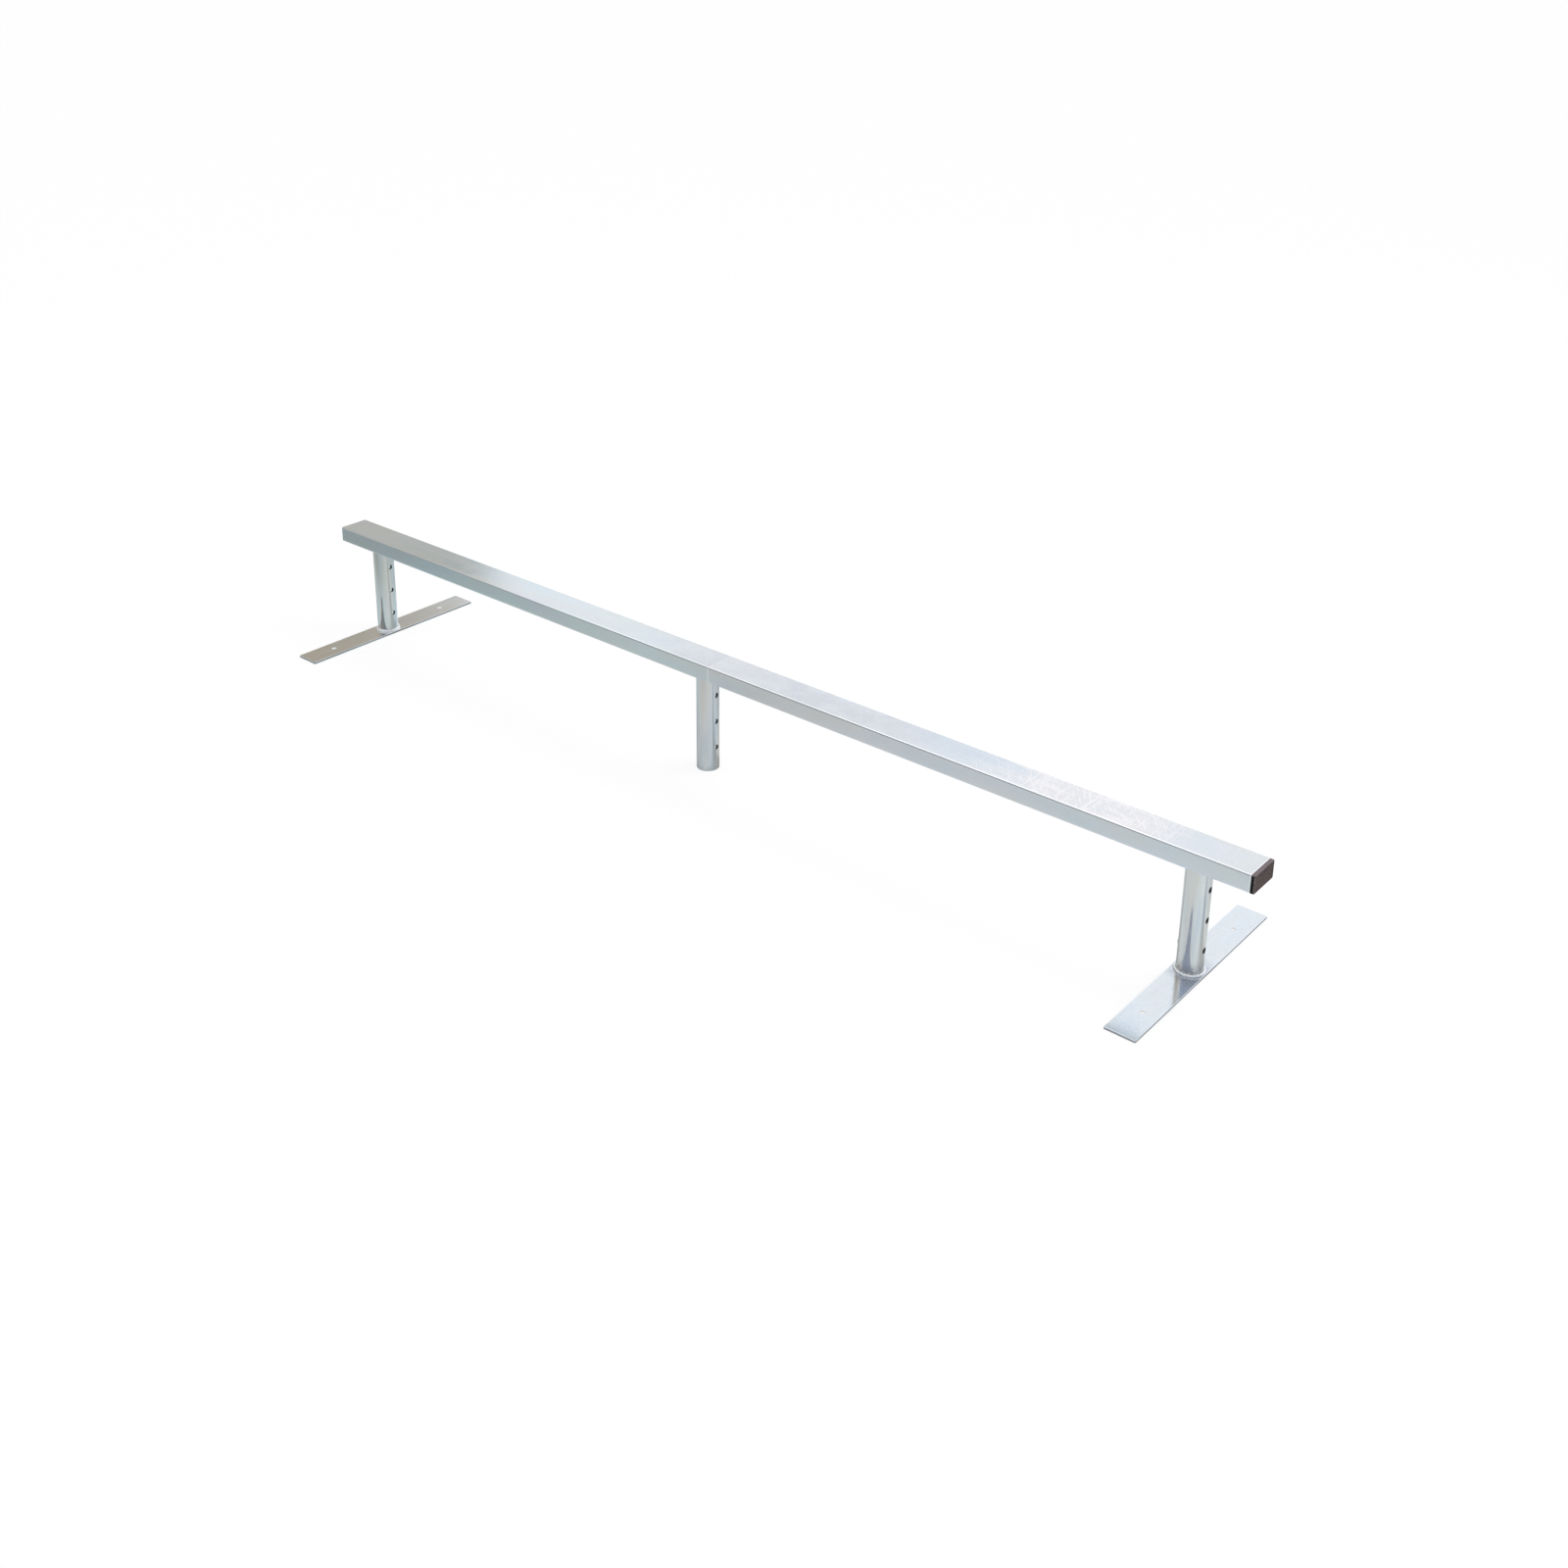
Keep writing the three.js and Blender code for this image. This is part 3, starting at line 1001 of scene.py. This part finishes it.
def makeWeldBead(name, x, radius, leg, base, direction):
    # it lies between a tube and a flat face, and grows from its base up or down
    s = weldBead
    size = leg * s["profileRadius"]
    lift = leg * s["profilePlace"]
    spine = radius - s["sink"] + lift
    deselectAll()
    bpy.ops.mesh.primitive_circle_add(
        vertices=s["profileSides"],
        radius=size,
        location=(x + spine, 0, base + direction * lift),
        rotation=(math.pi / 2, 0, 0),
    )
    piece = takeNew(name)
    editMesh(piece)
    bpy.ops.mesh.select_all(action="SELECT")
    bpy.ops.mesh.spin(steps=s["steps"], angle=2 * math.pi, center=(x, 0, base), axis=(0, 0, 1))
    leaveEdit()
    tidyMesh(piece)
    # each ripple is a shallow crescent; the toes stay down on the metal
    acrossDrift, upDrift = s["driftShift"]
    for corner in piece.data.vertices:
        place = corner.co
        angle = math.atan2(place.y, place.x - x)
        ahead, aside = math.cos(angle), math.sin(angle)
        out = math.hypot(place.x - x, place.y) - spine
        up = direction * (place.z - base) - lift
        facing = max(0.0, (out + up) / (size * math.sqrt(2)))
        phase = angle * s["ripples"] / (2 * math.pi) + s["lean"] * facing * facing
        ridge = abs(math.sin(math.pi * phase)) ** s["ridgePower"]
        spot = (ahead * s["driftTurns"], aside * s["driftTurns"], base * upDrift + x * acrossDrift)
        drift = noise.noise(Vector(spot))
        move = facing * (s["rippleDepth"] * (ridge - 1) + s["wander"] * (drift - s["driftLevel"]))
        length = math.hypot(out, up) or 1.0
        reach = spine + out + move * out / length
        place.x = x + ahead * reach
        place.y = aside * reach
        place.z += direction * move * up / length
    smoothSides(piece, s["smoothAngle"])
    return piece


footBase = plateTop - weldBead["sink"]
for side in flatZinc:
    bead = makeWeldBead("footWeld_" + side, legs[side], legRadius, weldBead["footLeg"], footBase, 1)
    dress(bead, grainy["weldMetal"], side + "_leg", "foot_weld_" + side)
for side, x in legs.items():
    bead = makeWeldBead("postWeld_" + side, x, postRadius, weldBead["postLeg"], railLow[2], -1)
    dress(bead, grainy["weldMetal"], "rail", "post_weld_" + side)
print("weld beads made")


# End cap and end plug: moulded plastic with a ribbed stem pushed into the tube

endCap = {
    "cornerRadius": 0.003,
    "cornerSteps": 6,
    "bevel": 0.0015,
    "bevelSteps": 5,
    "plugFace": 0.003,
    "stemInset": 0.0033,
    "stemRadius": 0.0010,
    "stemWall": 0.0020,
    "ribs": 3,
    "ribStep": 0.0060,
    "rib": 0.0015,
    "ribEdge": 0.0003,
    "ribEdgeSteps": 2,
    "dishInset": 0.0040,
    "dishDepth": 0.0006,
}


def roundedBlock(name, start, end, inset, radius, edge):
    # a block across the rail, its four long edges rounded and the rims of both ends softened
    low = (min(start, end), railLow[1] + inset, railLow[2] + inset)
    high = (max(start, end), railHigh[1] - inset, railHigh[2] - inset)
    piece = addBlock(name, low, high)
    bevelWhere(piece, "EDGE", alongRail, radius, endCap["cornerSteps"])
    if edge:
        bevelWhere(piece, "FACE", alongRail, edge, endCap["ribEdgeSteps"])
    return piece


plugLow, plugHigh = boxOf("end_plug_left")
plugInset = round(railHigh[1] - plugHigh[1], 6)
capLow, capHigh = boxOf("end_cap_right")


def addStem(piece, seat, tip):
    # the hollow stem that goes into the tube, with the thin ribs that grip it
    s = endCap
    way = math.copysign(1, tip - seat)
    sunk = seat - way * s["plugFace"] / 2
    stem = roundedBlock("stem", sunk, tip, s["stemInset"], s["stemRadius"], s["ribEdge"])
    for index in range(s["ribs"]):
        start = seat + way * (index + 1) * s["ribStep"]
        end = start + way * s["rib"]
        rib = roundedBlock("rib", start, end, plugInset, s["stemRadius"], s["ribEdge"])
        combine(stem, rib, "UNION")
    floor = seat + way * s["stemWall"]
    past = tip + way * s["stemWall"]
    bore = roundedBlock("bore", floor, past, s["stemInset"] + s["stemWall"], s["stemRadius"], 0)
    combine(stem, bore, "DIFFERENCE")
    combine(piece, stem, "UNION")
    tidyMesh(piece)
    smoothSides(piece)


def makeEndCap(name):
    s = endCap
    piece = roundedBlock(name, nearEnd, capHigh[0], 0.0, s["cornerRadius"], 0)
    bevelWhere(piece, "FACE", lambda centre, facing: facing.x > mostly, s["bevel"], s["bevelSteps"])
    addStem(piece, nearEnd, capLow[0])
    return piece


def makeEndPlug(name):
    s = endCap
    face = farEnd + s["plugFace"]
    piece = roundedBlock(name, farEnd, face, plugInset, s["stemRadius"], s["ribEdge"])
    # a shallow dished panel in the outer face
    inset = plugInset + s["dishInset"]
    past, floor = farEnd - s["dishDepth"], farEnd + s["dishDepth"]
    combine(piece, roundedBlock("dish", past, floor, inset, s["stemRadius"], 0), "DIFFERENCE")
    addStem(piece, face, plugHigh[0])
    return piece


dress(makeEndCap("endCap_right"), darkPlastic, "rail", "end_cap_right")
dress(makeEndPlug("endPlug_left"), darkPlastic, "rail", "end_plug_left")
print("end cap and plug made")


# Joint screws from below: hexagon head, washer and nut

fastener = {
    "headRadius": 0.0057735,
    "headSides": 6,
    "headDish": ((0.0007, 0.0004), (0.0008, -0.0003)),
    "headEdge": 0.00025,
    "shankRadius": 0.003,
    "shankSides": 32,
    "shankOverlap": 0.001,
    "bore": 0.0033,
    "washer": {"sides": 48, "radius": 0.006, "edge": 0.0002},
    "nut": {"sides": 6, "radius": 0.0057735, "edge": 0.0003},
}


def finishFastener(piece, edge):
    softenEdges(piece, edge)
    smoothSides(piece)
    return piece


def makeScrew(name, x):
    s = fastener
    low, high = boxOf("joint_screw_1")
    under = boxOf("joint_washer_1")[0][2]
    piece = addUpright(name, s["headSides"], s["headRadius"], x, low[2], under)
    editMesh(piece)
    pick("FACE", lambda centre, facing: facing.z < -mostly)
    for width, depth in s["headDish"]:
        bpy.ops.mesh.inset(thickness=width, depth=depth, use_even_offset=True)
    leaveEdit()
    root = under - s["shankOverlap"]
    shank = addUpright("shank", s["shankSides"], s["shankRadius"], x, root, high[2])
    combine(piece, shank, "UNION")
    return finishFastener(piece, s["headEdge"])


def makeRing(name, node, x, sides, radius, edge):
    # a washer or a nut
    low, high = boxOf(node)
    piece = addUpright(name, sides, radius, x, low[2], high[2])
    drill(piece, [(x, 0, high[2])], fastener["bore"], 4 * radius)
    return finishFastener(piece, edge)


firstX = screws[0]
firstSet = {
    "joint_screw_": makeScrew("jointScrew_1", firstX),
    "joint_washer_": makeRing("jointWasher_1", "joint_washer_1", firstX, **fastener["washer"]),
    "joint_nut_": makeRing("jointNut_1", "joint_nut_1", firstX, **fastener["nut"]),
}
for index, x in enumerate(screws):
    number = str(index + 1)
    for node, model in firstSet.items():
        piece = model
        if index:
            piece = copyPiece(model, model.name[:-1] + number, (x - firstX, 0, 0))
        dress(piece, grainy["zincFastener"], "rail", node + number)
print("joint screws made")


# Snap clips: a spring strip bent over inside the post, its button through both walls

snapClip = {
    "outer": 0.014372,
    "strip": 0.001,
    "edge": 0.0002,
    "bend": 0.075,
    "bendSteps": 28,
    "backEnd": 0.055,
    "buttonRadius": 0.0047,
    "buttonSides": 48,
    "buttonRoot": 0.01388,
    "buttonEdge": 0.0016,
    "buttonSteps": 6,
}


def makeSnapClip(name, x):
    s = snapClip
    low, high = boxOf("snap_clip_left")
    lock = roundTube["holes"][0]
    back = x - s["outer"]
    piece = addBlock(name, (back, low[1], low[2]), (back + s["strip"], high[1], lock))
    editMesh(piece)
    pick("FACE", lambda centre, facing: facing.z > mostly)
    pushUp(s["bend"] - lock)
    pivot = (x, 0, s["bend"])
    bpy.ops.mesh.spin(steps=s["bendSteps"], angle=-math.pi, center=pivot, axis=(0, 1, 0))
    pushUp(s["backEnd"] - s["bend"])
    leaveEdit()
    tidyMesh(piece)
    softenEdges(piece, s["edge"])
    tip, root = low[0], x - s["buttonRoot"]
    place, turn = ((tip + root) / 2, 0, lock), (0, -math.pi / 2, 0)
    button = addCylinder("button", s["buttonSides"], s["buttonRadius"], root - tip, place, turn)
    bevelWhere(button, "FACE", lambda centre, facing: facing.x < -mostly, s["buttonEdge"], s["buttonSteps"])
    joinPieces([piece, button])
    smoothSides(piece)
    return piece


clipLeft = makeSnapClip("snapClip_left", legs["left"])
for side, x in legs.items():
    clip = clipLeft
    if side != "left":
        clip = copyPiece(clipLeft, "snapClip_" + side, (x - legs["left"], 0, 0))
    dress(clip, grainy["springSteel"], "rail", "snap_clip_" + side)
print("snap clips made")


# Floor, world and lamp

studio = {
    "floorHalf": 40.0,
    "floorWhite": (0.95, 0.95, 0.95, 1),
    "floorClear": 0.82,
    "floorSpan": (-1.4, 1.2),
    # painted light and shade along the rail, in the floor as metal sees it
    "floorTones": [
        (-1.25, (0.28, 0.32, 0.33)),
        (-0.85, (0.36, 0.43, 0.45)),
        (-0.45, (0.45, 0.50, 0.51)),
        (-0.15, (0.46, 0.47, 0.465)),
        (0.15, (0.505, 0.52, 0.535)),
        (0.60, (0.50, 0.54, 0.56)),
        (0.95, (0.505, 0.565, 0.60)),
        (1.15, (0.54, 0.58, 0.60)),
    ],
    "floorBehind": (0.0, 0.25, 1.0, 0.72),
    "floorNear": (-0.38, -0.12, 1.0, 1.22),
    "floorClose": (-0.30, -0.10),
    # a painted shadow strip under the rail, in the tones metal sees
    "floorUnderMiddle": 0.018,
    "floorUnder": (0.016, 0.045, 0.62, 1.0),
    "floorLeft": (-0.80, -0.50, 0.36, 0.0),
    "lampPower": 26.0,
    "lampSize": 1.6,
    "lampPlace": (1.3, 1.5, 2.4),
}

sky = {
    "back": (0.91, 0.95, 1.0, 1),
    "leftLow": (0.53, 0.525, 0.505, 1),
    "leftHigh": (0.345, 0.29, 0.21, 1),
    "leftTurn": (0.370, 0.396),
    "leftTop": (0.46, 0.54),
    "leftEdge": (-0.712, -0.698),
    "frontWay": (0.638, -0.770, 0),
    "frontEdge": (0.0, 0.15),
    "front": (0.29, 0.36, 0.49, 1),
    "frontLow": (0.17, 0.165, 0.16, 1),
    "frontTurn": (0.43, 0.50),
    "frontTop": (0.62, 0.76),
    "strip": (1.15, 1.17, 1.20, 1),
    "stripLow": (0.60, 0.70),
    "stripLeft": (-0.70, -0.66),
    "stripRight": (-0.34, -0.27),
    "overhead": (0.62, 0.65, 0.68, 1),
    "overheadEdge": (0.84, 0.92),
    "panel": (0.70, 0.73, 0.76, 1),
    "panelEdge": (0.45, 0.60),
    "panelTop": (0.25, 0.33),
    "below": (0.41, 0.45, 0.47, 1),
    "belowEdge": (-0.05, 0.0),
}


def addFloor(s):
    # cameras look through most of it to the white world, so that lowered legs still show, and the rest keeps
    # the shadows; metal sees darker tones painted on it: painted light and shade, and a painted shadow under
    # the rail
    deselectAll()
    bpy.ops.mesh.primitive_plane_add(size=2 * s["floorHalf"])
    floor = takeNew("floor")
    material = bpy.data.materials.new("floor")
    material.use_nodes = True
    tree = material.node_tree
    tree.nodes.remove(tree.nodes["Principled BSDF"])
    along, across, _ = addSplit(tree, addNode(tree, "ShaderNodeTexCoord").outputs["Object"])
    # painted light and shade for metal: darker to the left and behind, lighter close in front and at the far
    # left, and a painted shadow under the rail
    start, end = s["floorSpan"]
    stops = [((x - start) / (end - start), tone) for x, tone in s["floorTones"]]
    fade = addRamp(tree, addRange(tree, along, start, end), stops)
    behind = addRange(tree, across, *s["floorBehind"])
    near = addRange(tree, across, *s["floorNear"])
    under = addRange(tree, addReach(tree, across, s["floorUnderMiddle"]), *s["floorUnder"])
    left = addRange(tree, along, *s["floorLeft"])
    close = addRange(tree, across, *s["floorClose"])
    lifted = addMath(tree, "MULTIPLY_ADD", left, close, 1.0)
    shade = addScaled(tree, fade, addProduct(tree, behind, near, under, lifted))
    rays = addNode(tree, "ShaderNodeLightPath").outputs
    tone = addMix(tree, rays["Is Glossy Ray"], s["floorWhite"], shade)
    lit = addNode(tree, "ShaderNodeBsdfDiffuse", {"Color": tone}).outputs[0]
    clear = addNode(tree, "ShaderNodeBsdfTransparent").outputs[0]
    share = addProduct(tree, rays["Is Camera Ray"], s["floorClear"])
    both = addNode(tree, "ShaderNodeMixShader")
    for socket, value in zip(both.inputs, (share, lit, clear)):
        feed(tree, socket, value)
    feed(tree, tree.nodes["Material Output"].inputs["Surface"], both.outputs[0])
    floor.data.materials.append(material)


def addRise(tree, value, span):
    # a soft step up over the span
    return addRange(tree, value, *span, curve="SMOOTHSTEP")


def addFall(tree, value, span):
    # a soft step down over the span
    return addRange(tree, value, *span, 1.0, 0.0, curve="SMOOTHSTEP")


def addSky(s):
    # white, except in metal, which sees a studio: pale back wall, grey to the left and overhead, dark front
    # over a low pale panel, and a strip lamp high on the left that draws the rail's edge
    world = bpy.data.worlds.new("studio")
    scene.world = world
    world.use_nodes = True
    tree = world.node_tree
    way = addNode(tree, "ShaderNodeTexCoord").outputs["Generated"]
    across, _, up = addSplit(tree, way)
    front = addVector(tree, "DOT_PRODUCT", way, s["frontWay"], result="Value")
    high = addProduct(tree, addRise(tree, up, s["leftTurn"]), addFall(tree, up, s["leftTop"]))
    tone = addMix(tree, high, s["leftLow"], s["leftHigh"])
    tone = addMix(tree, addRise(tree, across, s["leftEdge"]), tone, s["back"])
    dark = addProduct(tree, addRise(tree, front, s["frontEdge"]), addFall(tree, up, s["frontTop"]))
    ahead = addMix(tree, addRise(tree, up, s["frontTurn"]), s["frontLow"], s["front"])
    tone = addMix(tree, dark, tone, ahead)
    panel = addProduct(tree, addRise(tree, front, s["panelEdge"]), addFall(tree, up, s["panelTop"]))
    tone = addMix(tree, panel, tone, s["panel"])
    tone = addMix(tree, addRise(tree, up, s["overheadEdge"]), tone, s["overhead"])
    strip = addProduct(
        tree,
        addRise(tree, across, s["stripLeft"]),
        addFall(tree, across, s["stripRight"]),
        addRise(tree, up, s["stripLow"]),
    )
    tone = addMix(tree, strip, tone, s["strip"])
    tone = addMix(tree, addFall(tree, up, s["belowEdge"]), tone, s["below"])
    rays = addNode(tree, "ShaderNodeLightPath").outputs
    seen = addMix(tree, rays["Is Glossy Ray"], (1, 1, 1, 1), tone)
    feed(tree, tree.nodes["Background"].inputs["Color"], seen)


def addLamp(name, s):
    light = bpy.data.lights.new(name, "AREA")
    light.shape = "DISK"
    light.size = s["lampSize"]
    light.energy = s["lampPower"]
    lamp = bpy.data.objects.new(name, light)
    scene.collection.objects.link(lamp)
    lamp.location = s["lampPlace"]
    lamp.rotation_euler = (-Vector(s["lampPlace"])).to_track_quat("-Z", "Y").to_euler()
    lamp.visible_glossy = False  # metal sees the sky's tones only


addFloor(studio)
addSky(sky)
addLamp("softLamp", studio)
print("studio ready")
